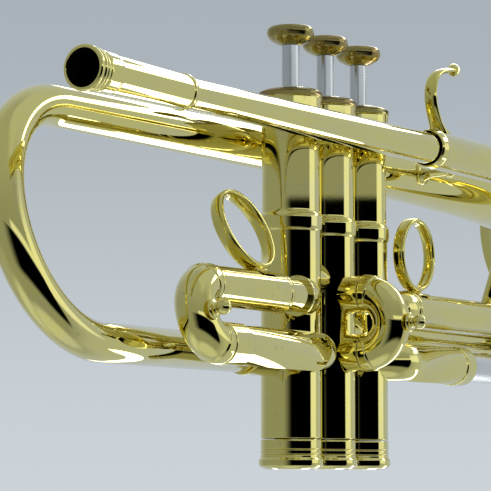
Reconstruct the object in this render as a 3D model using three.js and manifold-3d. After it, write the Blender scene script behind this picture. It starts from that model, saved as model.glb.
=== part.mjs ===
// A B-flat trumpet in lacquered brass, built as the separate pieces that it comes apart into.
// Frame, in millimetres: X runs forward to the bell, Y to the player's left and Z up. The origin is
// the centre of the second valve's bottom cap face, so Z = 0 is the level of the bottom caps.
import * as THREE from "three";
import { mergeVertices } from "three/addons/utils/BufferGeometryUtils.js";
import Module from "manifold-3d";

const wasm = await Module();
wasm.setup();

// ---------------------------------------------------------------- driving dimensions
const GAP = 0.3; // clearance between touching pieces
const WALL = 0.6; // drawn brass tube
const SMOOTH = 12; // sides of a tube or a turned piece
const FINE = 16; // sides of the casings and the large rings

const VALVE_SPACING = 23.8;
const CASING = { upper: 9.4, lower: 9.7, ring: 10.3, bore: 8.5, top: 118, bottom: 2.5 };
const CASING_RING = { middle: 79.5, half: 2.4 };
const CAP = { radius: 10.4, skirt: 113, lid: 118.8, top: 123.2 };
const BOTTOM_CAP = { radius: 9.8, flange: 10.4, top: 9.6, thread: 8.95 };
const STEM = { radius: 2.9, button: 137.2 };
const BUTTON = { radius: 7.85, height: 6.2 };
const PISTON = { radius: 8.2, bottom: 28, top: 98, wall: 1 };

const LEADPIPE = { y: -18, z: 107.8, mouth: -172, receiverEnd: -118.8, end: 52, hook: 51 };
const RECEIVER = { rim: 6.5, bore: 5.4, waist: 5.75, collar: 5.95, end: 5.15 };
const BELL = { y: 19.5, z: 105.3, bow: -130, rim: 304, rimRadius: 61.5, bowRadius: 6.2, sides: 20 };
const TAIL = { y: 3, z: 36, radius: 5.85 };
const BELL_RISE = 0.8; // degrees that the bell climbs towards its rim

const OUTER = 6.15; // outer slide tube
const INNER = 5.25; // inner slide tube
const FIRST = { upperY: -10.2, upperZ: 54.5, lowerY: -14.4, lowerZ: 37, crook: -94, knuckle: -38.8 };
const SECOND = { upperZ: 57.1, lowerZ: 38.1, crook: -14.6 };
const THIRD = { y: -12, upperZ: 54.2, lowerZ: 36.4, outerEnd: 78, crook: 138 };
const MAIN = { outer: 6.7, inner: 5.8, upperZ: 109.8, lowerY: 2, lowerZ: 48.5, crook: 159 };
const MAIN_TUBE = { upperStart: 40, lowerStart: 32, end: 138 };
const RING = { thumb: 13.85, finger: 12.75, thickness: 2, width: 4.2 };

const valveX = [-VALVE_SPACING, 0, VALVE_SPACING];
const X = new THREE.Vector3(1, 0, 0);
const Y = new THREE.Vector3(0, 1, 0);
const Z = new THREE.Vector3(0, 0, 1);
const vec = (x, y, z) => new THREE.Vector3(x, y, z);

// ---------------------------------------------------------------- materials
const metal = (color, roughness) =>
  new THREE.MeshStandardMaterial({ color, roughness, metalness: 1 });
const soft = (color) => new THREE.MeshStandardMaterial({ color, roughness: 0.95, metalness: 0 });
const brass = metal(0xdcc178, 0.12);
const nickel = metal(0xc8ccce, 0.18);
const steel = metal(0x9a9da0, 0.35);
const felt = soft(0x8a2f2a);
const cork = soft(0xb28a5c);

// ---------------------------------------------------------------- solids
// A closed mesh keeps only its positions, with shared vertices merged and collapsed triangles dropped.
function closed(geometry) {
  geometry.deleteAttribute("normal");
  geometry.deleteAttribute("uv");
  const merged = mergeVertices(geometry, 1e-4);
  const kept = [];
  const index = merged.index.array;
  for (let i = 0; i < index.length; i += 3) {
    const [a, b, c] = [index[i], index[i + 1], index[i + 2]];
    if (a !== b && b !== c && c !== a) kept.push(a, b, c);
  }
  merged.setIndex(kept);
  return merged;
}

function solid(geometry) {
  const merged = closed(geometry);
  return new wasm.Manifold(
    new wasm.Mesh({
      numProp: 3,
      vertProperties: merged.attributes.position.array,
      triVerts: new Uint32Array(merged.index.array),
    }),
  );
}

function geometryOf(body) {
  const made = body.getMesh();
  const stride = made.numProp;
  const positions = new Float32Array(made.numVert * 3);
  for (let i = 0; i < made.numVert; i += 1) {
    positions.set(made.vertProperties.subarray(i * stride, i * stride + 3), i * 3);
  }
  const geometry = new THREE.BufferGeometry();
  geometry.setAttribute("position", new THREE.BufferAttribute(positions, 3));
  geometry.setIndex(new THREE.BufferAttribute(made.triVerts, 1));
  return geometry;
}

// A turned piece about a vertical axis at (x, y): outline points are [radius, height].
function turned(outline, x = 0, y = 0, sides = SMOOTH) {
  const points = outline.map(([radius, height]) => new THREE.Vector2(radius, height));
  const geometry = new THREE.LatheGeometry(points, sides);
  geometry.rotateX(Math.PI / 2);
  geometry.translate(x, y, 0);
  return closed(geometry);
}

// A straight round rod between two points.
function rod(from, to, radius, sides = SMOOTH) {
  const span = to.clone().sub(from);
  const geometry = new THREE.CylinderGeometry(radius, radius, span.length(), sides);
  const turn = new THREE.Quaternion().setFromUnitVectors(Y, span.clone().normalize());
  geometry.applyQuaternion(turn);
  const middle = from.clone().addScaledVector(span, 0.5);
  geometry.translate(middle.x, middle.y, middle.z);
  return geometry;
}

function ball(centre, radius, sides = 10) {
  const geometry = new THREE.SphereGeometry(radius, sides, sides / 2);
  geometry.translate(centre.x, centre.y, centre.z);
  return geometry;
}

// A route is the centre line of a tube, made of straight stretches and round bends.
class Route {
  constructor(start, heading) {
    this.pieces = [];
    this.length = 0;
    this.point = start.clone();
    this.heading = heading.clone().normalize();
    const level = Math.abs(this.heading.z) > 0.9 ? X : Z;
    this.side = level.clone().cross(this.heading).normalize();
  }

  add(piece) {
    const start = { point: this.point, heading: this.heading, side: this.side };
    this.pieces.push({ ...start, ...piece, from: this.length });
    this.length += piece.length;
    const end = this.at(this.length);
    Object.assign(this, { point: end.point, heading: end.heading, side: end.side });
    return this;
  }

  straight(length) {
    return this.add({ length });
  }

  bend(degrees, radius, towards) {
    const angle = THREE.MathUtils.degToRad(degrees);
    const inward = towards.clone().addScaledVector(this.heading, -towards.dot(this.heading));
    const steps = Math.max(2, Math.round(degrees / 22.5));
    return this.add({ length: angle * radius, radius, inward: inward.normalize(), steps });
  }

  at(distance) {
    const within = this.pieces.filter((p) => distance >= p.from);
    const piece = within[within.length - 1] ?? this.pieces[0];
    const run = distance - piece.from;
    if (!piece.radius) {
      const point = piece.point.clone().addScaledVector(piece.heading, run);
      return { point, heading: piece.heading, side: piece.side };
    }
    const axis = piece.heading.clone().cross(piece.inward);
    const turn = new THREE.Quaternion().setFromAxisAngle(axis, run / piece.radius);
    const arm = piece.inward.clone().multiplyScalar(piece.radius);
    const centre = piece.point.clone().add(arm);
    return {
      point: centre.sub(arm.applyQuaternion(turn)),
      heading: piece.heading.clone().applyQuaternion(turn),
      side: piece.side.clone().applyQuaternion(turn),
    };
  }

  // Distances at which a bend needs a cross-section.
  stations() {
    return this.pieces.flatMap((p) => {
      const count = p.radius ? p.steps : 1;
      return Array.from({ length: count + 1 }, (_, i) => p.from + (p.length * i) / count);
    });
  }
}

// Adds the route's cross-sections to a wall profile of [distance, radius] points.
function followed(profile, route) {
  const stations = route.stations();
  const points = [profile[0]];
  for (let i = 1; i < profile.length; i += 1) {
    const [s0, r0] = profile[i - 1];
    const [s1, r1] = profile[i];
    stations
      .filter((s) => s > s0 + 0.05 && s < s1 - 0.05)
      .forEach((s) => points.push([s, r0 + ((r1 - r0) * (s - s0)) / (s1 - s0)]));
    points.push([s1, r1]);
  }
  return points;
}

// A tube along a route: a wall profile is turned as if the tube were straight, and then bent with it.
function tube(route, outside, inside, sides = SMOOTH) {
  const loop = [...followed(outside, route), ...followed(inside, route).reverse()];
  loop.push(loop[0]);
  const points = loop.map(([distance, radius]) => new THREE.Vector2(radius, distance));
  const geometry = new THREE.LatheGeometry(points, sides);
  const position = geometry.attributes.position;
  for (let i = 0; i < position.count; i += 1) {
    const { point, heading, side } = route.at(position.getY(i));
    const other = side.clone().cross(heading);
    const moved = point.clone().addScaledVector(side, position.getX(i));
    moved.addScaledVector(other, position.getZ(i));
    position.setXYZ(i, moved.x, moved.y, moved.z);
  }
  return closed(geometry);
}

// A plain tube of one radius over the whole of its route.
function plainTube(route, radius, wall = WALL, sides = SMOOTH) {
  const ends = (r) => [
    [0, r],
    [route.length, r],
  ];
  return tube(route, ends(radius), ends(radius - wall), sides);
}

const line = (x0, x1, y, z) => new Route(vec(x0, y, z), X).straight(x1 - x0);

// The space that a tube running along X takes up around a point of its axis, with its clearance.
function alongX(point, radius) {
  const end = (reach) => point.clone().addScaledVector(X, reach);
  return rod(end(-15), end(15), radius + GAP);
}

// ---------------------------------------------------------------- the assembly
const trumpet = new THREE.Group();
trumpet.name = "trumpet";

function piece(name, geometry, material = brass) {
  const mesh = new THREE.Mesh(geometry, material.clone());
  mesh.name = name;
  trumpet.add(mesh);
}

// Cuts a piece back to a small gap all round the casing of one valve.
function clearOfCasing(body, valve) {
  const axis = valveX[valve];
  const cutter = rod(vec(axis, 0, -5), vec(axis, 0, 130), CASING.lower + GAP, FINE);
  return body.subtract(solid(cutter));
}

// ---------------------------------------------------------------- slide routes into the valves
// Each knuckle leaves its valve, bends, and runs along its slide. The slides start where it ends.
function firstUpperRoute() {
  const route = new Route(vec(FIRST.knuckle, FIRST.upperY, FIRST.upperZ), X);
  return route.straight(1.3).bend(50, 10, Y).straight(6);
}

function firstLowerRoute() {
  const start = vec(FIRST.crook + GAP, FIRST.lowerY, FIRST.lowerZ);
  return new Route(start, X).straight(-35 - start.x).bend(90, 9, Y).straight(0.6);
}

function thirdRoute(z, start) {
  const route = new Route(vec(start, THIRD.y, z), X.clone().negate());
  return route.straight(start - 34).bend(80, 9, Y).straight(2);
}

const right = Y.clone().negate();
const secondRoute = (z, from, to) => new Route(vec(0, from, z), right).straight(from - to);

const tailRoute = new Route(vec(-32, TAIL.y, TAIL.z), X.clone().negate());
const mainLowerRoute = line(MAIN_TUBE.lowerStart, MAIN_TUBE.end, MAIN.lowerY, MAIN.lowerZ);
const linkZ = [62, 46];

const firstUpper = firstUpperRoute();
const firstLower = firstLowerRoute();
const thirdUpper = thirdRoute(THIRD.upperZ, 35);
const thirdLower = thirdRoute(THIRD.lowerZ, THIRD.outerEnd);

// ---------------------------------------------------------------- valves
// A port is drilled through a wall along the axis of the tube that meets it.
const port = (point, direction, reach = 9) =>
  solid(
    rod(
      point.clone().addScaledVector(direction, -reach),
      point.clone().addScaledVector(direction, reach),
      OUTER - WALL - 0.4,
      8,
    ),
  );

function portsOf(valve) {
  const x = valveX[valve];
  const ends = [
    [
      [vec(x - 9, TAIL.y, TAIL.z), X],
      [firstUpper.point, firstUpper.heading],
      [firstLower.point, firstLower.heading],
    ],
    [
      [vec(0, -9, SECOND.upperZ), Y],
      [vec(0, -9, SECOND.lowerZ), Y],
    ],
    [
      [vec(x + 9, MAIN.lowerY, MAIN.lowerZ), X],
      [thirdUpper.point, thirdUpper.heading],
      [thirdLower.point, thirdLower.heading],
    ],
  ];
  const links = [
    [[vec(x + 9, 0, linkZ[0]), X]],
    [
      [vec(x - 9, 0, linkZ[0]), X],
      [vec(x + 9, 0, linkZ[1]), X],
    ],
    [[vec(x - 9, 0, linkZ[1]), X]],
  ];
  return [...ends[valve], ...links[valve]];
}

function valveCasing(valve) {
  const { upper, lower, ring, bore, top, bottom } = CASING;
  const low = CASING_RING.middle - CASING_RING.half;
  const high = CASING_RING.middle + CASING_RING.half;
  const shoulder = BOTTOM_CAP.top + GAP;
  const outline = [
    [bore, bottom],
    [BOTTOM_CAP.thread, bottom],
    [BOTTOM_CAP.thread, shoulder],
    [lower, shoulder],
    [lower, low - 0.5],
    [ring, low],
    [ring, high],
    [upper, high + 0.6],
    [upper, top],
    [bore, top],
    [bore, bottom],
  ];
  let body = solid(turned(outline, valveX[valve], 0, FINE));
  for (const [point, direction] of portsOf(valve)) {
    body = body.subtract(port(point, direction, 6));
  }
  return geometryOf(body);
}

function topCap(valve) {
  const { radius, skirt, lid, top } = CAP;
  const hole = STEM.radius + GAP;
  const thread = CASING.upper + GAP;
  const outline = [
    [thread, skirt],
    [radius - 0.4, skirt],
    [radius, skirt + 0.6],
    [radius, top - 2.2],
    [radius - 1.4, top - 0.7],
    [radius - 4.2, top],
    [hole, top],
    [hole, lid],
    [thread, lid],
    [thread, skirt],
  ];
  return turned(outline, valveX[valve], 0, FINE);
}

function bottomCap(valve) {
  const { radius, flange, top, thread } = BOTTOM_CAP;
  const floor = 1.8;
  const outline = [
    [0, 0],
    [8.2, 0],
    [9.7, 0.7],
    [flange, 1.4],
    [flange, 3.6],
    [radius, 4.1],
    [radius, top],
    [thread + GAP, top],
    [thread + GAP, floor],
    [0, floor],
  ];
  return turned(outline, valveX[valve], 0, FINE);
}

function piston(valve) {
  const { radius, bottom, top, wall } = PISTON;
  const inside = radius - wall;
  const outline = [
    [inside, bottom],
    [radius, bottom],
    [radius, top],
    [STEM.radius + GAP, top],
    [STEM.radius + GAP, top - 3],
    [inside, top - 3],
    [inside, bottom],
  ];
  let body = solid(turned(outline, valveX[valve], 0, SMOOTH));
  const passages = [
    [TAIL.z + 1, X],
    [linkZ[1] + 9, vec(0.5, -0.87, 0)],
    [linkZ[0] + 12, Y],
  ];
  for (const [height, direction] of passages) {
    body = body.subtract(port(vec(valveX[valve], 0, height), direction, 12));
  }
  return geometryOf(body);
}

function valveStem(valve) {
  const { radius, button } = STEM;
  const collar = 7.2;
  const seat = PISTON.top + GAP;
  const outline = [
    [0, PISTON.top - 2.5],
    [radius, PISTON.top - 2.5],
    [radius, seat],
    [5, seat],
    [5, seat + 2],
    [radius, seat + 2.6],
    [radius, 112],
    [collar, 112.8],
    [collar, 114.6],
    [radius, 114.6],
    [radius, button - GAP],
    [1.6, button - GAP],
    [1.6, button + 3],
    [0, button + 3],
  ];
  return turned(outline, valveX[valve], 0, SMOOTH);
}

function stemFelt(valve) {
  const inner = STEM.radius + GAP;
  const outline = [
    [inner, 114.9],
    [7, 114.9],
    [7, 118.5],
    [inner, 118.5],
    [inner, 114.9],
  ];
  return turned(outline, valveX[valve], 0, SMOOTH);
}

function fingerButton(valve) {
  const base = STEM.button;
  const { radius, height } = BUTTON;
  const outline = [
    [1.9, base],
    [3.4, base],
    [radius - 1.7, base + 1.4],
    [radius - 0.5, base + 2.6],
    [radius, base + 4.2],
    [radius - 0.3, base + height - 0.8],
    [radius - 1.1, base + height],
    [0, base + height - 0.7],
    [0, base + 3.4],
    [1.9, base + 3.4],
    [1.9, base],
  ];
  return turned(outline, valveX[valve], 0, SMOOTH);
}

// The spring stands on the bottom cap's floor under the piston: a helix of round wire.
function valveSpring(valve) {
  const bottom = 2.1 + 0.6;
  const top = PISTON.bottom - GAP - 0.6;
  const turns = 4;
  const coil = 6.2;
  const wire = new THREE.Shape();
  wire.absarc(0, 0, 0.55, 0, 2 * Math.PI);
  class Helix extends THREE.Curve {
    getPoint(t, target = new THREE.Vector3()) {
      const angle = 2 * Math.PI * turns * t;
      const height = bottom + (top - bottom) * t;
      return target.set(coil * Math.cos(angle), coil * Math.sin(angle), height);
    }
  }
  const geometry = new THREE.ExtrudeGeometry(wire, {
    extrudePath: new Helix(),
    steps: turns * 8,
    curveSegments: 2,
    bevelEnabled: false,
  });
  geometry.translate(valveX[valve], 0, 0);
  return closed(geometry);
}

for (let valve = 0; valve < 3; valve += 1) {
  const number = valve + 1;
  piece(`valve_casing_${number}`, valveCasing(valve));
  piece(`top_cap_${number}`, topCap(valve));
  piece(`bottom_cap_${number}`, bottomCap(valve));
  piece(`piston_${number}`, piston(valve), nickel);
  piece(`valve_stem_${number}`, valveStem(valve), nickel);
  piece(`stem_felt_${number}`, stemFelt(valve), felt);
  piece(`finger_button_${number}`, fingerButton(valve));
  piece(`valve_spring_${number}`, valveSpring(valve), steel);
}

// Short tubes carry the air from one casing to the next.
for (const valve of [0, 1]) {
  const route = line(valveX[valve] + 7, valveX[valve + 1] - 7, 0, linkZ[valve]);
  const body = clearOfCasing(clearOfCasing(solid(plainTube(route, 5.8)), valve), valve + 1);
  piece(`valve_link_${valve + 1}_${valve + 2}`, geometryOf(body));
}

// ---------------------------------------------------------------- leadpipe
function mouthpieceReceiver() {
  const length = LEADPIPE.receiverEnd - LEADPIPE.mouth;
  const { rim, bore, waist, collar, end } = RECEIVER;
  const route = line(LEADPIPE.mouth, LEADPIPE.receiverEnd, LEADPIPE.y, LEADPIPE.z);
  const outside = [
    [0, rim - 0.7],
    [0.6, rim],
    [1.8, rim],
    [2.3, rim - 0.6],
    [2.9, rim - 0.1],
    [4.2, rim - 0.1],
    [4.8, waist],
    [5.4, waist],
    [6.2, collar],
    [12, collar],
    [12.6, waist - 0.1],
    [length - 2.2, end - 0.1],
    [length - 1.8, end + 0.3],
    [length, end + 0.2],
  ];
  const inside = [
    [0, bore],
    [9, bore - 0.35],
    [26, bore - 0.7],
    [length - 9, 4.75],
    [length, 4.75],
  ];
  return tube(route, outside, inside);
}

// The leadpipe climbs slightly from the receiver to the level of the tuning slide.
const pipeStart = vec(LEADPIPE.receiverEnd - 8.5, LEADPIPE.y, LEADPIPE.z);
const pipeEnd = vec(LEADPIPE.end, LEADPIPE.y, MAIN.upperZ);

function leadpipeAt(x) {
  const share = Math.min(1, (x - pipeStart.x) / (pipeEnd.x - pipeStart.x));
  return vec(x, LEADPIPE.y, pipeStart.z + (pipeEnd.z - pipeStart.z) * share);
}

function leadpipe() {
  const span = pipeEnd.clone().sub(pipeStart);
  const route = new Route(pipeStart, span.clone().normalize()).straight(span.length());
  const outside = [
    [0, 4.4],
    [8.8, 4.4],
    [9.4, 4.65],
    [route.length, 5.5],
  ];
  const inside = [
    [0, 3.9],
    [route.length, 5],
  ];
  return tube(route, outside, inside);
}

piece("mouthpiece_receiver", mouthpieceReceiver(), brass);
piece("leadpipe", leadpipe());

// ---------------------------------------------------------------- bell
// The bell is one piece of metal: tail, bow and flare. The flare widens by a horn formula.
const bellFlare = (toRim, straight) => {
  const widening = (38 / (toRim + 38)) ** 1.35;
  const fade = 1 - (toRim / straight) ** 2;
  return BELL.bowRadius + (BELL.rimRadius - BELL.bowRadius) * widening * fade;
};

const bowSpan = vec(0, BELL.y - TAIL.y, BELL.z - TAIL.z);
tailRoute.straight(-32 - BELL.bow);
tailRoute.bend(180 - BELL_RISE, bowSpan.length() / 2, bowSpan.clone().normalize());
const bellRoute = tailRoute.straight(BELL.rim - BELL.bow);

function bell() {
  const [tail, bow, flare] = bellRoute.pieces;
  const wall = 0.55;
  const outside = [
    [0, TAIL.radius],
    [bow.from, TAIL.radius],
    [flare.from, BELL.bowRadius],
  ];
  const distances = [360, 270, 200, 145, 105, 76, 54, 38, 26, 17, 10, 5, 1.6];
  for (const toRim of distances) {
    outside.push([bellRoute.length - toRim, bellFlare(toRim, flare.length)]);
  }
  const end = bellRoute.length;
  const inside = outside.map(([distance, radius]) => [distance, radius - wall]);
  const lip = BELL.rimRadius;
  outside.push([end - 1.9, lip - 1], [end - 1.6, lip], [end - 0.6, lip + 0.3], [end, lip - 0.5]);
  inside.splice(-1, 1, [end - 1.4, lip - 6]);
  inside.push([end, lip - 2.4]);
  outside.splice(-5, 1);
  return geometryOf(clearOfCasing(solid(tube(bellRoute, outside, inside, BELL.sides)), 0));
}

function bellTailFerrule() {
  const route = line(-50, -32, TAIL.y, TAIL.z);
  const body = solid(plainTube(route, TAIL.radius + GAP + 0.45, 0.45));
  return geometryOf(clearOfCasing(body, 0));
}

piece("bell", bell());
piece("bell_tail_ferrule", bellTailFerrule());

// ---------------------------------------------------------------- first valve slide
// The upper leg is a sleeve that runs over a fixed tube and carries the thumb ring. The lower leg
// is an inner tube that runs inside a fixed outer tube.
function firstFixedUpper() {
  const knuckle = tube(
    firstUpper,
    [
      [0, OUTER + 0.35],
      [2.5, OUTER + 0.35],
      [2.8, OUTER],
      [firstUpper.length, OUTER],
    ],
    [
      [0, INNER - WALL],
      [firstUpper.length, OUTER - WALL],
    ],
  );
  const guide = plainTube(line(-88, FIRST.knuckle + 1, FIRST.upperY, FIRST.upperZ), INNER);
  return geometryOf(clearOfCasing(solid(knuckle).add(solid(guide)), 0));
}

function firstFixedLower() {
  const ferrule = 10.2;
  const outside = [
    [0, OUTER + 0.4],
    [ferrule, OUTER + 0.4],
    [ferrule + 0.4, OUTER],
    [firstLower.length, OUTER],
  ];
  const inside = [
    [0, INNER + GAP],
    [firstLower.length, INNER + GAP],
  ];
  return geometryOf(clearOfCasing(solid(tube(firstLower, outside, inside)), 0));
}

// A U-shaped crook from an upper leg round to a lower leg, with a ferrule band on each end.
function crook(start, heading, down, radius = OUTER, lead = 0.1) {
  const route = new Route(start, heading).straight(lead);
  route.bend(180, down.length() / 2, down.clone().normalize()).straight(lead);
  const end = route.length;
  const band = 2.6;
  const outside = [
    [0, radius + 0.35],
    [band, radius + 0.35],
    [band + 0.3, radius],
    [end - band - 0.3, radius],
    [end - band, radius + 0.35],
    [end, radius + 0.35],
  ];
  const inside = [
    [0, radius - 1.4],
    [end, radius - 1.4],
  ];
  return tube(route, outside, inside);
}

// A pull knob: a round foot, a neck and a ball.
function pullKnob(foot, direction) {
  const out = (distance) => foot.clone().addScaledVector(direction, distance);
  const body = solid(rod(out(0), out(0.9), 3.2, 20))
    .add(solid(rod(out(0.5), out(3.2), 1.5, 16)))
    .add(solid(ball(out(3.7), 2.35)));
  return geometryOf(body);
}

// A ring for a finger, standing on the top of a tube that runs along X and leaning towards "up".
function fingerRing(tubePoint, up, radius) {
  const middle = radius - RING.thickness / 2;
  const rounded = Array.from({ length: 9 }, (_, i) => {
    const angle = (2 * Math.PI * i) / 8;
    const out = middle + (RING.thickness / 2) * Math.cos(angle);
    return new THREE.Vector2(out, (RING.width / 2) * Math.sin(angle));
  });
  const ring = new THREE.LatheGeometry(rounded, 24);
  const across = up.clone().cross(X).normalize();
  ring.applyQuaternion(new THREE.Quaternion().setFromUnitVectors(Y, across));
  const top = tubePoint.clone().addScaledVector(Z, OUTER);
  const centre = top.clone().addScaledVector(up, radius + 0.2);
  ring.translate(centre.x, centre.y, centre.z);
  const saddleEnd = (reach) => top.clone().addScaledVector(X, reach);
  const saddle = rod(saddleEnd(-4.5), saddleEnd(4.5), 1.6, 12);
  return geometryOf(solid(ring).add(solid(saddle)).subtract(solid(alongX(tubePoint, OUTER))));
}

const firstDown = vec(0, FIRST.lowerY - FIRST.upperY, FIRST.lowerZ - FIRST.upperZ);
const firstCrookStart = vec(FIRST.crook, FIRST.upperY, FIRST.upperZ);
const thumbRingLean = vec(0, 0.42, 0.91).normalize();

piece("first_slide_upper_fixed_tube", firstFixedUpper());
piece("first_slide_lower_outer_tube", firstFixedLower());
piece("first_slide_crook", crook(firstCrookStart, X.clone().negate(), firstDown));
piece(
  "first_slide_upper_sleeve",
  plainTube(line(FIRST.crook + GAP, -50.4, FIRST.upperY, FIRST.upperZ), OUTER),
);
piece(
  "first_slide_lower_inner_tube",
  plainTube(line(FIRST.crook + GAP, -46, FIRST.lowerY, FIRST.lowerZ), INNER),
  nickel,
);
const firstKnobFoot = firstCrookStart
  .clone()
  .addScaledVector(firstDown, 0.5)
  .add(vec(-firstDown.length() / 2 - 1.5, -OUTER - 0.5, 0.5));
piece("first_slide_knob", pullKnob(firstKnobFoot, vec(0, -0.985, 0.17).normalize()));
const thumbRingFoot = vec(-62, FIRST.upperY, FIRST.upperZ);
piece("first_slide_thumb_ring", fingerRing(thumbRingFoot, thumbRingLean, RING.thumb));

// ---------------------------------------------------------------- second valve slide
function secondOuter(z) {
  const route = secondRoute(z, -6, SECOND.crook + GAP);
  const inside = [
    [0, INNER + GAP],
    [route.length, INNER + GAP],
  ];
  const outside = [
    [0, OUTER],
    [route.length, OUTER],
  ];
  return geometryOf(clearOfCasing(solid(tube(route, outside, inside)), 1));
}

function secondSlide() {
  const start = vec(0, SECOND.crook, SECOND.upperZ);
  const down = vec(0, 0, SECOND.lowerZ - SECOND.upperZ);
  let body = solid(crook(start, right, down));
  for (const z of [SECOND.upperZ, SECOND.lowerZ]) {
    const leg = plainTube(secondRoute(z, -7, SECOND.crook - 0.8), INNER);
    body = body.add(clearOfCasing(solid(leg), 1));
  }
  return geometryOf(body);
}

const secondMiddle = (SECOND.upperZ + SECOND.lowerZ) / 2;
const secondReach = (SECOND.upperZ - SECOND.lowerZ) / 2 + OUTER + 0.5;
piece("second_slide_upper_outer_tube", secondOuter(SECOND.upperZ));
piece("second_slide_lower_outer_tube", secondOuter(SECOND.lowerZ));
piece("second_slide", secondSlide());
piece("second_slide_knob", pullKnob(vec(0, SECOND.crook - secondReach, secondMiddle), right));

// ---------------------------------------------------------------- third valve slide
function thirdFixedUpper() {
  const outside = [
    [0, OUTER + 0.35],
    [2.5, OUTER + 0.35],
    [2.8, OUTER],
    [thirdUpper.length, OUTER],
  ];
  const inside = [
    [0, INNER - WALL],
    [thirdUpper.length, OUTER - WALL],
  ];
  const guide = plainTube(line(34, 118, THIRD.y, THIRD.upperZ), INNER);
  const knuckle = solid(tube(thirdUpper, outside, inside));
  return geometryOf(clearOfCasing(knuckle.add(solid(guide)), 2));
}

function thirdFixedLower() {
  const outside = [
    [0, OUTER + 0.75],
    [7, OUTER + 0.75],
    [7.3, OUTER + 0.35],
    [thirdLower.length, OUTER + 0.35],
  ];
  const inside = [
    [0, INNER + GAP],
    [thirdLower.length, INNER + GAP],
  ];
  return geometryOf(clearOfCasing(solid(tube(thirdLower, outside, inside)), 2));
}

const thirdDown = vec(0, 0, THIRD.lowerZ - THIRD.upperZ);
const thirdCrookStart = vec(THIRD.crook, THIRD.y, THIRD.upperZ);
piece("third_slide_upper_fixed_tube", thirdFixedUpper());
piece("third_slide_lower_outer_tube", thirdFixedLower());
piece("third_slide_crook", crook(thirdCrookStart, X, thirdDown));
piece(
  "third_slide_upper_sleeve",
  plainTube(line(35.3, THIRD.crook - GAP, THIRD.y, THIRD.upperZ), OUTER),
);
piece(
  "third_slide_lower_inner_tube",
  plainTube(line(46, THIRD.crook - GAP, THIRD.y, THIRD.lowerZ), INNER),
  nickel,
);
const fingerRingFoot = vec(42, THIRD.y, THIRD.upperZ);
piece("third_slide_finger_ring", fingerRing(fingerRingFoot, Z, RING.finger));

// ---------------------------------------------------------------- main tuning slide
const mainProfile = (route, bandAtStart) => {
  const frontBand = 7;
  const rearBand = 4;
  const { outer } = MAIN;
  const plain = [
    [0, outer],
    [route.length - frontBand - 0.4, outer],
    [route.length - frontBand, outer + 0.5],
    [route.length, outer + 0.5],
  ];
  const first = [
    [0, outer + 0.5],
    [rearBand, outer + 0.5],
    [rearBand + 0.4, outer],
  ];
  return bandAtStart ? [...first, ...plain.slice(1)] : plain;
};

function mainUpperOuter() {
  const route = line(MAIN_TUBE.upperStart, MAIN_TUBE.end, LEADPIPE.y, MAIN.upperZ);
  const inside = [
    [0, MAIN.inner + 0.2],
    [route.length, MAIN.inner + GAP],
  ];
  return tube(route, mainProfile(route, true), inside);
}

function mainLowerOuter() {
  const inside = [
    [0, MAIN.inner + GAP],
    [mainLowerRoute.length, MAIN.inner + GAP],
  ];
  const body = solid(tube(mainLowerRoute, mainProfile(mainLowerRoute, false), inside));
  return geometryOf(clearOfCasing(body, 2));
}

const mainDown = vec(0, MAIN.lowerY - LEADPIPE.y, MAIN.lowerZ - MAIN.upperZ);
const KEY = { nipple: MAIN.crook - 1, hinge: MAIN.crook - 9, tail: MAIN.crook - 21 };
const keyLevel = MAIN.lowerZ - MAIN.inner - 0.4;

const keyHingeZ = keyLevel - 6.6;
const hingeEnd = (y) => vec(KEY.hinge, MAIN.lowerY + y, keyHingeZ);

function block(centre, x, y, z) {
  const geometry = new THREE.BoxGeometry(x, y, z);
  geometry.translate(centre.x, centre.y, centre.z);
  return geometry;
}

// The bow carries the water key's nipple, and a saddle with two ears that hold its hinge pin.
function tuningBow() {
  const start = vec(MAIN_TUBE.end + GAP, LEADPIPE.y, MAIN.upperZ);
  const bow = solid(crook(start, X, mainDown, MAIN.outer - 0.1, MAIN.crook - start.x));
  const under = (x, z) => vec(x, MAIN.lowerY, z);
  const nipple = rod(under(KEY.nipple, keyLevel), under(KEY.nipple, keyLevel - 3), 2.4, 16);
  const saddle = block(under(KEY.hinge, keyLevel - 1.4), 4.4, 8.4, 4.4);
  let body = bow.add(solid(nipple)).add(solid(saddle));
  for (const side of [-1, 1]) {
    const ear = block(under(KEY.hinge, keyLevel - 5.4), 4, 1.2, 6);
    ear.translate(0, side * 3.6, 0);
    body = body.add(solid(ear));
  }
  const pinHole = rod(hingeEnd(-6), hingeEnd(6), 0.9, 12);
  return geometryOf(body.subtract(solid(pinHole)));
}

// A brace is a rod with a round flange at each end, fitted to the two tubes that it joins.
function brace(from, to, clear, rodRadius) {
  const along = to.clone().sub(from).normalize();
  const flange = (end, sign) => {
    const inner = end.clone().addScaledVector(along, sign * 2.4);
    return solid(rod(end, inner, 2 * rodRadius, 16));
  };
  let body = solid(rod(from, to, rodRadius, 16)).add(flange(from, 1)).add(flange(to, -1));
  for (const cutter of clear) body = body.subtract(solid(cutter));
  return geometryOf(body);
}

piece("tuning_slide_upper_outer_tube", mainUpperOuter());
piece("tuning_slide_lower_outer_tube", mainLowerOuter());
piece("tuning_slide_bow", tuningBow());
piece(
  "tuning_slide_upper_inner_tube",
  plainTube(line(94, MAIN_TUBE.end, LEADPIPE.y, MAIN.upperZ), MAIN.inner),
  nickel,
);
piece(
  "tuning_slide_lower_inner_tube",
  plainTube(line(80, MAIN_TUBE.end, MAIN.lowerY, MAIN.lowerZ), MAIN.inner),
  nickel,
);

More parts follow.
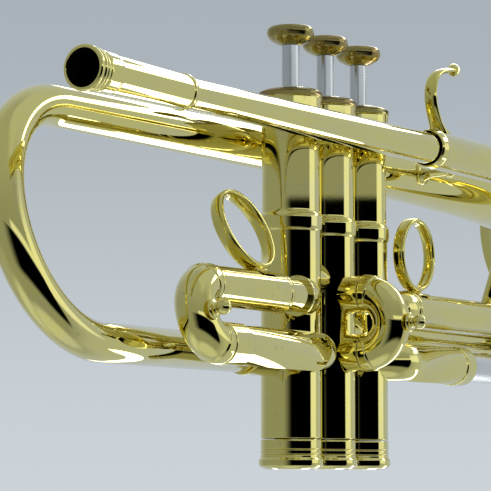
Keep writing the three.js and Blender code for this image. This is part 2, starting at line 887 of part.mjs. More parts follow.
// ---------------------------------------------------------------- water key
function waterKeyLever() {
  const at = (x, z) => vec(x, MAIN.lowerY, z);
  const middle = (KEY.nipple + KEY.tail) / 2;
  const bar = block(at(middle, keyHingeZ), KEY.nipple - KEY.tail, 3.4, 1.6);
  const cup = rod(at(KEY.nipple, keyHingeZ - 0.8), at(KEY.nipple, keyHingeZ + 1.4), 3.3, 16);
  const pad = rod(at(KEY.tail, keyHingeZ - 0.8), at(KEY.tail, keyHingeZ + 0.8), 3.6, 16);
  const barrel = rod(hingeEnd(-2.6), hingeEnd(2.6), 1.6, 12);
  const hole = rod(hingeEnd(-4), hingeEnd(4), 0.9, 12);
  const body = solid(bar).add(solid(cup)).add(solid(pad)).add(solid(barrel));
  const corkSeat = rod(at(KEY.nipple, keyHingeZ + 0.4), at(KEY.nipple, keyHingeZ + 3), 2.6, 16);
  return geometryOf(body.subtract(solid(hole)).subtract(solid(corkSeat)));
}

function waterKeyCork() {
  const at = (z) => vec(KEY.nipple, MAIN.lowerY, z);
  return closed(rod(at(keyHingeZ + 0.7), at(keyLevel - 3.1), 2.3, 16));
}

const waterKeyPin = () => closed(rod(hingeEnd(-4.3), hingeEnd(4.3), 0.6, 12));

piece("water_key_lever", waterKeyLever());
piece("water_key_cork", waterKeyCork(), cork);
piece("water_key_pin", waterKeyPin(), steel);

// ---------------------------------------------------------------- braces and the finger hook
// The bell's axis and radius at a distance forward of its bow.
function bellAt(x) {
  const flare = bellRoute.pieces[bellRoute.pieces.length - 1];
  const { point } = bellRoute.at(flare.from + x - BELL.bow);
  return { point, radius: bellFlare(BELL.rim - x, flare.length) };
}

function leadpipeBrace(x, pipeRadius, rodRadius) {
  const pipe = leadpipeAt(x);
  const horn = bellAt(x);
  const across = horn.point.clone().sub(pipe).normalize();
  const from = pipe.clone().addScaledVector(across, pipeRadius - 1.2);
  const to = horn.point.clone().addScaledVector(across, 1.2 - horn.radius);
  const clear = [alongX(pipe, pipeRadius), alongX(horn.point, horn.radius + 0.3)];
  return brace(from, to, clear, rodRadius);
}

function outerTubeBrace(x) {
  const away = mainDown.clone().normalize();
  const top = vec(x, LEADPIPE.y, MAIN.upperZ);
  const bottom = vec(x, MAIN.lowerY, MAIN.lowerZ);
  const from = top.clone().addScaledVector(away, MAIN.outer - 1.2);
  const to = bottom.clone().addScaledVector(away, -(MAIN.outer - 1.2));
  return brace(from, to, [alongX(top, MAIN.outer), alongX(bottom, MAIN.outer)], 2.2);
}

// The hook stands on the slide tube in front of the third valve and opens towards the bell.
function fingerHook() {
  const section = new THREE.Shape();
  section.absellipse(0, 0, 1.2, 2.5, 0, 2 * Math.PI);
  const at = (x, z) => vec(LEADPIPE.hook + x, LEADPIPE.y, z);
  const path = new THREE.CatmullRomCurve3([
    at(-1, 116),
    at(-4.2, 120),
    at(-7.4, 126),
    at(-7.2, 131.5),
    at(-4.2, 135.8),
    at(2, 138.2),
    at(10, 139.6),
  ]);
  const options = { extrudePath: path, steps: 12, curveSegments: 4, bevelEnabled: false };
  const strip = solid(new THREE.ExtrudeGeometry(section, options));
  const footZ = MAIN.upperZ + MAIN.outer;
  const foot = solid(rod(at(-5, footZ), at(5, footZ), 2.6, 12));
  const tip = solid(ball(at(11, 139.9), 2.3));
  const pipe = solid(alongX(at(0, MAIN.upperZ), MAIN.outer + 0.05));
  return geometryOf(strip.add(foot).add(tip).subtract(pipe));
}

piece("rear_bell_brace", leadpipeBrace(-VALVE_SPACING / 2, 5.2, 1.7));
piece("front_bell_brace", leadpipeBrace(96, MAIN.outer, 2.2));
piece("tuning_slide_tube_brace", outerTubeBrace(122));
piece("finger_hook", fingerHook());

export default trumpet;
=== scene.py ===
"""The looks of a lacquered brass B-flat trumpet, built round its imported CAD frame.

The instrument's lengths are millimetres until a mesh is made, and the studio's are metres. X runs
forward to the bell, Y to the player's left and Z up, and the origin is the foot of the second
valve's axis.
"""
import math

import bpy
import numpy as np
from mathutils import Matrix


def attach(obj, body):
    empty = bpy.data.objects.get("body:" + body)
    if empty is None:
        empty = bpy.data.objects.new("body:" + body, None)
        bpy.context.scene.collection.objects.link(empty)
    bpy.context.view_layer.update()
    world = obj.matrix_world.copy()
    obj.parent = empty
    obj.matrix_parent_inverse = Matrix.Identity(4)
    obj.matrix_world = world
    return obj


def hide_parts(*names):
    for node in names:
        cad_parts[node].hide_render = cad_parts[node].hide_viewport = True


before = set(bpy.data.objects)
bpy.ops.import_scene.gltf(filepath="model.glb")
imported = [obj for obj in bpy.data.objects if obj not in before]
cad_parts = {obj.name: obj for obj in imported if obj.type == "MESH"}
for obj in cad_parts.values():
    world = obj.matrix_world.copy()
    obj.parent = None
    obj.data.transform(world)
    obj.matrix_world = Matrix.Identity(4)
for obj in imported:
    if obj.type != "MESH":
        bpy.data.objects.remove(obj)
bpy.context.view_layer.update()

# ---------------------------------------------------------------- dimensions shared with the CAD
MM = 0.001  # metres
GAP = 0.3  # clearance of a sliding fit, and of a soldered one
WALL = 0.6  # drawn brass tube
VALVE_X = (-23.8, 0.0, 23.8)
CASING = dict(upper=9.4, lower=9.7, ring=10.3, bore=8.5, top=118.0, bottom=9.9)
CASING_RING = (77.1, 81.9)  # its lower and upper edge
LEADPIPE = dict(y=-18.0, z=107.8, mouth=-172.0, receiver_end=-118.8, end=52.0, hook=51.0)
BELL = dict(y=19.5, z=105.3, bow=-130.0, rim=304.0, rim_radius=61.5, bow_radius=6.2, wall=0.55)
BELL_RISE = 0.8  # degrees that the bell climbs towards its rim
FLARE = dict(reach=38.0, power=1.35, steps=60)
TAIL = dict(y=3.0, z=36.0, radius=5.85, front=-32.0, ferrule=(-50.0, -33.0))
OUTER = 6.15  # radius of a valve slide's outer tube
INNER = 5.25  # radius of a valve slide's inner tube
SLEEVE_BORE = 5.55
SUNK = 0.6  # how far a brace's feet reach into the tubes they are soldered to
FIRST = dict(upper=(-10.2, 54.5), lower=(-14.4, 37.0), crook=-94.0, knuckle=-38.8, ring=-62.0)
FIRST_ENDS = dict(fixed=-88.0, turn=-35.0, sleeve=-50.4, inner=-46.0)
SECOND = dict(upper=57.1, lower=38.1, crook=-14.6)
THIRD = dict(y=-12.0, upper=54.2, lower=36.4, outer_end=78.0, crook=138.0, ring=42.0)
THIRD_ENDS = dict(fixed=118.0, turn=34.0, sleeve=35.3, inner=46.0)
MAIN = dict(outer=6.7, inner=5.8, upper=(-18.0, 109.8), lower=(2.0, 48.5), crook=159.0)
MAIN_TUBE = dict(upper_start=40.0, lower_start=32.0, end=138.0, brace=122.0)
VALVE_LINKS = ((0, 62.0), (1, 46.0))  # the valve that a link starts from, and its height

# ---------------------------------------------------------------- looks and studio
ROUGH_SIDES = 32  # flats round a small fitting
SIDES = 64  # flats round a slide tube
FINE_SIDES = 96  # flats round a casing, a bottom cap, the bell or a ring
KNURL_SIDES = 160  # flats round a top cap, whose knurl sets every second point in
BEND_STEP = 4.0  # degrees of a bend between two cross-sections
POLISHED_DEPTH = 52.0  # how far the lacquer reaches into the bell from its rim
LIT_DEPTH = 270.0  # how far light reaches into the bell
STRIP_RADIANCE = 3.6  # of the strip lights, where the tent's brightest panel has 1
# What is painted on the grey tent, each panel over the ones before it: its strength, its azimuths
# and heights, and the softness of those edges, in degrees. Azimuth 90 is the player's left.
PANELS = (
    (0.42, (85.0, 140.0), (-70.0, -18.0), (20.0, 20.0), (20.0, 6.0)),  # low on the left
    (0.56, (-100.0, 0.0), (45.0, 84.0), (20.0, 20.0), (8.0, 6.0)),  # high on the right
    (0.55, (-62.0, 75.0), (-58.0, 62.0), (18.0, 30.0), (16.0, 14.0)),  # all that is in front
    (0.70, (70.0, 150.0), (-64.0, -42.0), (20.0, 20.0), (8.0, 8.0)),  # the floor on the left
    (0.66, (-200.0, 200.0), (-91.0, -64.0), (1.0, 1.0), (1.0, 8.0)),  # the floor underneath
    (0.95, (-140.0, -60.0), (8.0, 14.0), (4.0, 4.0), (0.5, 2.0)),  # a pale line above the flag
    (1.0, (-70.0, -40.0), (-1.0, 24.0), (3.0, 3.0), (3.0, 6.0)),  # a bright panel on the right
    (0.0, (-165.0, -70.0), (-30.0, 6.3), (18.0, 2.0), (6.0, 0.1)),  # the black flag
)
# The strip lights, ahead of the bell: their extent in X and in Y and their height, in metres.
STRIPS = dict(above=((0.93, 1.33), (-0.85, 0.60), 0.8), below=((0.98, 1.32), (-0.75, 0.80), -0.6))
FLOOR = dict(half=6.0, level=-0.13)  # metres
LENS = 183.3  # mm, on a 36 mm sensor
CAMERA = (-0.7271, -0.3892, -0.0011)  # metres
CAMERA_TURN = (95.2, 0.0, -60.0)  # degrees

X = np.array((1.0, 0.0, 0.0))
Y = np.array((0.0, 1.0, 0.0))
Z = np.array((0.0, 0.0, 1.0))


def unit(vector):
    vector = np.asarray(vector, float)
    return vector / np.linalg.norm(vector)


def turned_about(vector, axis, angle):
    """A vector turned by the right-hand rule about a unit axis, in radians."""
    along = axis * np.dot(axis, vector)
    flat = vector - along
    return along + flat * math.cos(angle) + np.cross(axis, vector) * math.sin(angle)


# ---------------------------------------------------------------- node graphs
class Graph:
    """Short spellings for the nodes of one material or world."""

    def __init__(self, tree):
        self.tree = tree
        tree.nodes.clear()

    def node(self, kind, inputs=None, **settings):
        made = self.tree.nodes.new(kind)
        for name, value in settings.items():
            setattr(made, name, value)
        for name, value in (inputs or {}).items():
            self.feed(made.inputs[name], value)
        return made

    def feed(self, socket, value):
        """Links another node's output to a socket, or sets the socket to a plain value."""
        if isinstance(value, bpy.types.NodeSocket):
            self.tree.links.new(value, socket)
        else:
            socket.default_value = value

    def math(self, operation, a, b=0.0, c=0.0):
        made = self.tree.nodes.new("ShaderNodeMath")
        made.operation = operation
        for socket, value in zip(made.inputs, (a, b, c)):
            self.feed(socket, value)
        return made.outputs[0]

    def mix(self, amount, a, b):
        made = self.tree.nodes.new("ShaderNodeMix")
        made.data_type = "RGBA"
        self.feed(made.inputs[0], amount)
        self.feed(made.inputs[6], a)
        self.feed(made.inputs[7], b)
        return made.outputs[2]

    def ramp(self, value, low, high):
        """0 at low, 1 at high and smooth between them."""
        made = self.node("ShaderNodeMapRange", interpolation_type="SMOOTHSTEP")
        self.feed(made.inputs["Value"], value)
        made.inputs["From Min"].default_value = low
        made.inputs["From Max"].default_value = high
        return made.outputs["Result"]

    def noise(self, scale, detail=3.0, stretch=(1, 1, 1), roughness=0.5):
        place = self.node("ShaderNodeTexCoord").outputs["Object"]
        mapping = self.node("ShaderNodeMapping", {"Vector": place, "Scale": stretch})
        inputs = {"Vector": mapping.outputs[0], "Scale": scale}
        inputs.update({"Detail": detail, "Roughness": roughness})
        return self.node("ShaderNodeTexNoise", inputs).outputs[0]

    def bump(self, height, strength, distance):
        inputs = {"Height": height, "Strength": strength, "Distance": distance}
        return self.node("ShaderNodeBump", inputs).outputs[0]

    def surface(self, inputs):
        """Ends a material's graph in one Principled shader."""
        shader = self.node("ShaderNodeBsdfPrincipled", inputs)
        self.node("ShaderNodeOutputMaterial", {"Surface": shader.outputs[0]})


def new_material(name):
    """An empty material and its graph."""
    material = bpy.data.materials.new(name)
    material.use_nodes = True
    return material, Graph(material.node_tree)


def new_object(name, data):
    """An object that is in the scene."""
    made = bpy.data.objects.new(name, data)
    bpy.context.scene.collection.objects.link(made)
    return made


def rgba(red, green, blue):
    return (red, green, blue, 1.0)


# ---------------------------------------------------------------- materials
def brass(name, tone=1.0, polish=0.008, amber=0.35, mottling=0.25, gold=(0.87, 0.72, 0.14)):
    """Polished brass under clear lacquer, with hand-rub haze, warm mottling and small specks."""
    material, graph = new_material(name)
    broad = graph.noise(38.0, 4.0)
    drawn = graph.noise(900.0, 2.0, stretch=(0.06, 1, 1))
    grain = graph.noise(2600.0, 2.0)
    specks = graph.ramp(graph.noise(520.0, 1.0), 0.70, 0.76)
    lemon = rgba(0.88 * tone, 0.765 * tone, 0.19 * tone)
    warm = rgba(*[part * tone for part in gold])
    brown = rgba(0.36 * tone, 0.22 * tone, 0.07 * tone)
    colour = graph.mix(graph.math("MULTIPLY", graph.ramp(broad, 0.30, 0.66), amber), lemon, warm)
    colour = graph.mix(graph.math("MULTIPLY", specks, mottling), colour, brown)
    haze = graph.math("MULTIPLY", graph.ramp(broad, 0.45, 0.8), 0.01)
    rough = graph.math("ADD", graph.math("MULTIPLY_ADD", drawn, 0.008, polish), haze)
    relief = graph.math("ADD", graph.math("MULTIPLY", drawn, 0.6), graph.math("MULTIPLY", grain, 0.4))
    bump = graph.bump(relief, 0.05, 0.000005)
    metal = {"Base Color": colour, "Metallic": 1.0, "Roughness": rough, "Normal": bump}
    lacquer = {"Coat Weight": 0.55, "Coat Roughness": 0.01, "Coat IOR": 1.5}
    graph.surface({**metal, **lacquer})
    return material


def plated(name, colour, polish):
    """Metal without lacquer, bare or plated, with fine scratches along the valves' travel."""
    material, graph = new_material(name)
    scratch = graph.noise(1400.0, 3.0, stretch=(1, 1, 0.05))
    film = graph.noise(60.0, 3.0)
    dull = rgba(*(channel * 0.8 for channel in colour))
    tint = graph.mix(graph.math("MULTIPLY", graph.ramp(film, 0.45, 0.75), 0.5), rgba(*colour), dull)
    rough = graph.math("MULTIPLY_ADD", scratch, 0.08, polish)
    bump = graph.bump(scratch, 0.1, 0.00005)
    graph.surface({"Base Color": tint, "Metallic": 1.0, "Roughness": rough, "Normal": bump})
    return material


def soft_stuff(name, light, dark, scale, depth):
    """Felt or cork: a matt, mottled and slightly rough solid."""
    material, graph = new_material(name)
    fibres = graph.noise(scale, 5.0, roughness=0.7)
    tint = graph.mix(graph.ramp(fibres, 0.35, 0.65), rgba(*dark), rgba(*light))
    bump = graph.bump(fibres, 0.7, depth)
    rough = graph.math("MULTIPLY_ADD", fibres, 0.15, 0.8)
    graph.surface({"Base Color": tint, "Roughness": rough, "Normal": bump})
    return material


def mother_of_pearl(name):
    """The button inlay: milky, in soft drifting bands of pink and green, under a polished face."""
    material, graph = new_material(name)
    bands = graph.noise(190.0, 5.0, stretch=(1, 2.5, 1), roughness=0.6)
    cloud = graph.noise(420.0, 3.0)
    pale = graph.mix(graph.ramp(bands, 0.35, 0.65), rgba(0.78, 0.80, 0.74), rgba(0.86, 0.80, 0.80))
    tint = graph.mix(graph.math("MULTIPLY", cloud, 0.35), pale, rgba(0.66, 0.74, 0.72))
    rough = graph.math("MULTIPLY_ADD", cloud, 0.1, 0.15)
    bump = graph.bump(bands, 0.15, 0.00005)
    polish = {"Coat Weight": 0.6, "Coat Roughness": 0.05}
    graph.surface({"Base Color": tint, "Roughness": rough, "Normal": bump, **polish})
    return material


BRASS = brass("lacquered_brass")
BRASS_WORN = brass("handled_brass", tone=0.93, polish=0.05, amber=0.6, mottling=0.45)
RED_GOLD = (0.88, 0.60, 0.17)
BRONZE = brass("handled_bronze", 0.44, polish=0.14, amber=1.0, mottling=0.5, gold=RED_GOLD)
# painted shade: near-black metal inside the tubes and deep in the bell, where no light reaches
BORE = plated("dark_bore", (0.035, 0.026, 0.014), 0.55)
THROAT = plated("raw_brass", (0.62, 0.46, 0.13), 0.42)
NICKEL = plated("bright_nickel", (0.76, 0.765, 0.75), 0.16)
STEEL = plated("spring_steel", (0.55, 0.55, 0.54), 0.3)
FELT = soft_stuff("pressed_felt", (0.46, 0.11, 0.09), (0.2, 0.03, 0.03), 1500.0, 0.0003)
CORK = soft_stuff("cut_cork", (0.62, 0.44, 0.26), (0.3, 0.18, 0.09), 900.0, 0.0002)
PEARL = mother_of_pearl("mother_of_pearl")


# ---------------------------------------------------------------- routes and turned meshes
class Route:
    """The centre line of a tube: straight stretches and round bends, with a frame at each point."""

    def __init__(self, start, heading):
        self.pieces = []
        self.length = 0.0
        self.point = np.asarray(start, float)
        self.heading = unit(heading)
        level = X if abs(self.heading[2]) > 0.9 else Z
        self.side = unit(np.cross(level, self.heading))

    def add(self, length, **bend):
        """Adds a stretch and moves on to its end."""
        start = dict(point=self.point, heading=self.heading, side=self.side)
        self.pieces.append(dict(start, at=self.length, length=length, **bend))
        self.length += length
        self.point, self.heading, self.side = self.where(self.length)
        return self

    def straight(self, length):
        """Goes on as it was heading."""
        return self.add(length)

    def bend(self, degrees, radius, towards):
        """Goes on round a bend, its centre on the side that a vector points to."""
        towards = np.asarray(towards, float)
        inward = unit(towards - self.heading * np.dot(towards, self.heading))
        steps = max(2, round(degrees / BEND_STEP))
        return self.add(math.radians(degrees) * radius, radius=radius, inward=inward, steps=steps)

    def where(self, distance):
        """The point, heading and side at a distance from the start."""
        found = [p for p in self.pieces if distance >= p["at"]]
        piece = found[-1] if found else self.pieces[0]
        run = distance - piece["at"]
        if "radius" not in piece:
            return piece["point"] + piece["heading"] * run, piece["heading"], piece["side"]
        axis = np.cross(piece["heading"], piece["inward"])
        angle = run / piece["radius"]
        arm = piece["inward"] * piece["radius"]
        point = piece["point"] + arm - turned_about(arm, axis, angle)
        heading = turned_about(piece["heading"], axis, angle)
        return point, heading, turned_about(piece["side"], axis, angle)

    def stations(self):
        """The distances at which the route needs a cross-section."""
        marks = []
        for piece in self.pieces:
            steps = piece.get("steps", 1)
            marks += [piece["at"] + piece["length"] * i / steps for i in range(steps + 1)]
        return marks


def line(x0, x1, y, z):
    """A route along X."""
    return Route((x0, y, z), X).straight(x1 - x0)


def upright(x):
    """A valve's axis, on which a distance is the height above the valve's foot."""
    return Route((x, 0.0, 0.0), Z).straight(200.0)


def soften(points, reach, ends=True):
    """Rounds the corners of an outline of [distance, radius] points with short curves."""
    rounded = []
    count = len(points)
    for i, point in enumerate(points):
        if ends and i in (0, count - 1):
            rounded.append(point)
            continue
        before = np.subtract(points[i - 1], point)
        after = np.subtract(points[(i + 1) % count], point)
        size_before, size_after = np.linalg.norm(before), np.linalg.norm(after)
        turn = np.dot(before, after) / (size_before * size_after)
        nearly_straight = turn < -0.995
        if nearly_straight:
            rounded.append(point)
            continue
        cut = min(reach, 0.45 * size_before, 0.45 * size_after)
        start = np.asarray(point) + before / size_before * cut
        end = np.asarray(point) + after / size_after * cut
        for t in (0.0, 0.33, 0.67, 1.0):
            bow = (1 - t) ** 2 * start + 2 * t * (1 - t) * np.asarray(point) + t * t * end
            rounded.append(tuple(bow))
    return rounded


def held(points, closed=False):
    """Adds a point close to each end of a long stretch, so that its shading stays straight."""
    hold, longest = 0.07, 0.5
    following = points[1:] + points[:1] if closed else points[1:]
    full = []
    for start, end in zip(points, following):
        full.append(start)
        length = math.dist(start, end)
        if length > longest:
            step = np.subtract(end, start) * hold / length
            full += [tuple(np.add(start, step)), tuple(np.subtract(end, step))]
    return full if closed else full + [points[-1]]


def with_stations(points, route):
    """Adds a point of the outline wherever a bend needs a cross-section."""
    marks = route.stations()
    full = [points[0]]
    for (s0, r0), (s1, r1) in zip(points, points[1:]):
        inside = [s for s in marks if min(s0, s1) + 0.05 < s < max(s0, s1) - 0.05]
        for s in sorted(inside, reverse=s1 < s0):
            full.append((s, r0 + (r1 - r0) * (s - s0) / (s1 - s0)))
        full.append((s1, r1))
    return full


def ring_mesh(route, outline, closed, sides, knurl=None):
    """Vertices and faces of an outline of [distance, radius] turned about a route.

    A knurl is (from, to, depth): every second point between those distances is set in by its depth.
    """
    angles = np.linspace(0.0, 2.0 * math.pi, sides, endpoint=False)
    vertices, faces = [], []
    for distance, radius in outline:
        point, heading, side = route.where(distance)
        other = np.cross(side, heading)
        wheel = np.outer(np.cos(angles), side) + np.outer(np.sin(angles), other)
        radii = np.full(sides, max(radius, 1e-4))
        if knurl and knurl[0] <= distance <= knurl[1]:
            radii[::2] -= knurl[2]
        vertices.append(point + wheel * radii[:, None])
    rows = len(outline)
    for row in range(rows if closed else rows - 1):
        following = (row + 1) % rows
        for i in range(sides):
            j = (i + 1) % sides
            corners = (row * sides + i, following * sides + i, following * sides + j)
            faces.append(corners + (row * sides + j,))
    return np.concatenate(vertices), faces


class Shape:
    """Collects the shells of one piece, each face with its material's number."""

    def __init__(self):
        self.vertices, self.faces, self.slots = [], [], []
        self.count = 0

    def add(self, vertices, faces, slots=0):
        """Adds a shell, its faces in one material's slot or in one each."""
        self.vertices.append(np.asarray(vertices, float))
        self.faces += [tuple(v + self.count for v in face) for face in faces]
        self.slots += [slots] * len(faces) if isinstance(slots, int) else list(slots)
        self.count += len(vertices)
        return self

    def tube(self, route, outside, inside, edge=0.15, sides=SIDES, dark_from=0.6):
        """A hollow tube. Its bore is dark from a little way in, where no light reaches."""
        loop = list(outside) + list(inside)[::-1]
        loop = held(soften(loop, edge, ends=False), closed=True)
        loop = with_stations(loop + loop[:1], route)[:-1]
        vertices, faces = ring_mesh(route, loop, True, sides)
        slots = []
        for distance, radius in loop:
            middle = (np.interp(distance, *zip(*inside)) + np.interp(distance, *zip(*outside))) / 2
            deep = dark_from < distance < route.length - dark_from
            slots += [1 if radius < middle and deep else 0] * sides
        return self.add(vertices, faces, slots)

    def plain_tube(self, route, radius):
        """A drawn tube of one radius."""
        outside = [(0.0, radius), (route.length, radius)]
        return self.tube(route, outside, [(s, r - WALL) for s, r in outside])

    def turned(self, route, outline, edge=0.2, sides=SIDES, slot=0):
        """A solid of revolution: outline of [distance, radius] from the axis back to the axis."""
        full = with_stations(held(soften(outline, edge)), route)
        vertices, faces = ring_mesh(route, full, False, sides)
        return self.add(vertices, faces, slot)

    def rod(self, start, end, radius, edge=0.2):
        """A solid cylinder between two points."""
        span = np.subtract(end, start)
        length = np.linalg.norm(span)
        outline = [(0, 0), (0, radius), (length, radius), (length, 0)]
        return self.turned(Route(start, span).straight(length), outline, edge, ROUGH_SIDES)

    def ball(self, centre, radius):
        """A solid ball."""
        route = Route(np.subtract(centre, (0, 0, radius)), Z).straight(2 * radius)
        angles = np.linspace(0.0, math.pi, ROUGH_SIDES // 2)
        outline = [(radius - radius * math.cos(a), radius * math.sin(a)) for a in angles]
        return self.turned(route, outline, 0.0, ROUGH_SIDES)

    def block(self, centre, size):
        """A box with its sides along the axes."""
        half = np.asarray(size, float) / 2
        corners = [(i, j, k) for i in (-1, 1) for j in (-1, 1) for k in (-1, 1)]
        vertices = np.asarray(centre, float) + np.asarray(corners) * half
        sides = [(0, 1, 3, 2), (4, 6, 7, 5), (0, 4, 5, 1), (2, 3, 7, 6), (0, 2, 6, 4), (1, 5, 7, 3)]
        return self.add(vertices, sides)

    def strip(self, points, width, thickness, sides=28):
        """A rounded strip along points in the XZ plane, its width along Y. Sizes go end to end."""
        points = np.asarray(points, float)
        tangents = np.gradient(points, axis=0)
        angles = np.linspace(0.0, 2.0 * math.pi, sides, endpoint=False)
        vertices, faces = [], []
        for i, (point, tangent) in enumerate(zip(points, tangents)):
            out = unit(np.cross(Y, tangent))
            t = i / (len(points) - 1)
            half_width = np.interp(t, *zip(*width)) / 2
            half_depth = np.interp(t, *zip(*thickness)) / 2
            wheel = np.outer(np.cos(angles) * half_width, Y)
            vertices.append(point + wheel + np.outer(np.sin(angles) * half_depth, out))
        for row in range(len(points) - 1):
            for i in range(sides):
                j = (i + 1) % sides
                corners = (row * sides + i, (row + 1) * sides + i, (row + 1) * sides + j)
                faces.append(corners + (row * sides + j,))
        return self.add(np.concatenate(vertices), faces)

    def piece(self, name, body, nodes, slot="lacquered_brass", materials=(BRASS, BORE)):
        """Makes the Blender object, puts it on its body and lets it stand for its CAD nodes."""
        mesh = bpy.data.meshes.new(name)
        mesh.from_pydata(np.concatenate(self.vertices) * MM, [], self.faces)
        for material in materials:
            mesh.materials.append(material)
        mesh.polygons.foreach_set("material_index", self.slots)
        mesh.polygons.foreach_set("use_smooth", [True] * len(self.faces))
        mesh.update()
        made = new_object(name, mesh)
        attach(made, body)
        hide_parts(*nodes)


def spline(points, count):
    """A smooth Catmull-Rom curve through points."""
    points = [np.asarray(p, float) for p in points]
    padded = [2 * points[0] - points[1]] + points + [2 * points[-1] - points[-2]]
    made = []
    for i in range(1, len(padded) - 2):
        p0, p1, p2, p3 = padded[i - 1 : i + 3]
        for t in np.linspace(0, 1, count, endpoint=False):
            bend = 2 * p0 - 5 * p1 + 4 * p2 - p3
            cube = -p0 + 3 * p1 - 3 * p2 + p3
            made.append(0.5 * (2 * p1 + (p2 - p0) * t + bend * t**2 + cube * t**3))
    return made + [points[-1]]


# ---------------------------------------------------------------- valves
def casing(number, x):
    """A valve's tube, thicker below the ring that stands round its middle."""
    upper, lower, ring, bore = (CASING[k] for k in ("upper", "lower", "ring", "bore"))
    low, high = CASING_RING
    outside = [
        (CASING["bottom"], lower),
        (low - 0.7, lower),
        (low - 0.3, ring - 0.25),
        (low + 0.5, ring),
        (high - 0.9, ring),
        (high - 0.2, ring - 0.3),
        (high + 0.2, upper + 0.2),
        (high + 1.0, upper),
        (CASING["top"], upper),
    ]
    inside = [(CASING["bottom"], bore), (CASING["top"], bore)]
    shape = Shape().tube(upright(x), outside, inside, edge=0.3, sides=FINE_SIDES, dark_from=0.0)
    shape.piece(f"casing_{number}_shell", "horn", [f"valve_casing_{number}"])


def top_cap(number, x):
    """A screw cap whose knurled top edge has darkened under the fingers."""
    outline = [
        (112.9, 9.55),
        (112.9, 10.1),
        (113.3, 10.35),
        (114.3, 10.35),
        (114.7, 10.05),
        (115.1, 10.2),
        (119.7, 10.2),
        (120.0, 10.4),
        (121.6, 10.4),
        (122.2, 9.6),
        (122.7, 8.2),
        (122.8, 6.4),
        (123.2, 5.9),
        (123.2, 3.35),
        (118.8, 3.35),
        (118.8, 9.55),
    ]
    shape = Shape()
    loop = held(soften(outline, 0.25, ends=False), closed=True)
    vertices, faces = ring_mesh(upright(x), loop, True, KNURL_SIDES, knurl=(120.2, 121.4, 0.22))
    slots = []
    for height, radius in loop:
        on_the_knurled_edge = height > 119.9 and radius > 9.0
        slots += [int(on_the_knurled_edge)] * KNURL_SIDES
    shape.add(vertices, faces, slots)
    name = f"top_cap_{number}_turned"
    shape.piece(name, "horn", [f"top_cap_{number}"], materials=(BRASS, BRONZE))


def bottom_cap(number, x):
    """A screw cap with two grooves round its wall and a bead round its foot."""
    outline = [
        (0.0, 0.0),
        (0.0, 7.6),
        (0.45, 9.2),
        (1.2, 10.25),
        (2.0, 10.4),
        (3.2, 10.35),
        (3.7, 9.85),
        (4.6, 9.8),
        (4.8, 9.5),
        (5.0, 9.8),
        (6.2, 9.8),
        (6.4, 9.5),
        (6.6, 9.8),
        (9.2, 9.8),
        (9.6, 9.65),
        (9.6, 9.3),
        (1.8, 9.3),
        (1.8, 0.0),
    ]
    shape = Shape().turned(upright(x), outline, edge=0.12, sides=FINE_SIDES)
    shape.piece(f"bottom_cap_{number}_turned", "horn", [f"bottom_cap_{number}"])


def button(number, x):
    """A bowl-shaped finger button with a pearl inlay in its top."""
    base = 137.2
    outline = [
        (base + 0.1, 0.0),
        (base + 0.1, 3.3),
        (base + 0.5, 4.3),
        (base + 1.4, 6.1),
        (base + 2.6, 7.3),
        (base + 4.0, 7.8),
        (base + 5.2, 7.65),
        (base + 6.0, 6.95),
        (base + 6.2, 6.4),
        (base + 6.0, 5.9),
        (base + 5.3, 5.8),
        (base + 5.3, 0.0),
    ]
    shape = Shape().turned(upright(x), outline, edge=0.3)
    inlay = [(base + 5.2, 0.0), (base + 5.2, 5.75), (base + 5.75, 5.6), (base + 5.75, 0.0)]
    shape.turned(upright(x), inlay, edge=0.2, slot=1)
    body = f"valve_{number}"
    materials = (BRONZE, PEARL)
    shape.piece(f"finger_button_{number}_turned", body, [f"finger_button_{number}"], materials=materials)


def stem(number, x):
    """The rod from the piston to the button, with the flange that carries the felt."""
    outline = [
        (95.5, 0.0),
        (95.5, 2.9),
        (98.3, 2.9),
        (98.3, 5.0),
        (100.3, 5.0),
        (100.9, 2.9),
        (112.0, 2.9),
        (112.8, 7.2),
        (114.6, 7.2),
        (114.6, 2.9),
        (137.3, 2.9),
        (137.3, 0.0),
    ]
    shape = Shape().turned(upright(x), outline, edge=0.15)
    body = f"valve_{number}"
    shape.piece(f"valve_stem_{number}_turned", body, [f"valve_stem_{number}"], "nickel", (NICKEL,))


def felt_ring(number, x):
    """The felt washer that silences the stem's flange under the top cap."""
    outline = [(114.9, 3.2), (114.9, 6.9), (118.5, 6.9), (118.5, 3.2)]
    shape = Shape()
    vertices, faces = ring_mesh(upright(x), soften(outline, 0.7, ends=False), True, 48)
    shape.add(vertices, faces)
    shape.piece(f"stem_felt_{number}_ring", f"valve_{number}", [f"stem_felt_{number}"], "felt", (FELT,))


for number, valve_x in enumerate(VALVE_X, start=1):
    for make in (casing, top_cap, bottom_cap, button, stem, felt_ring):
        make(number, valve_x)

for first, link_z in VALVE_LINKS:
    link = line(VALVE_X[first] + 7.5, VALVE_X[first + 1] - 7.5, 0.0, link_z)
    name = f"valve_link_{first + 1}_{first + 2}"
    Shape().plain_tube(link, 5.8).piece(f"{name}_tube", "horn", [name])


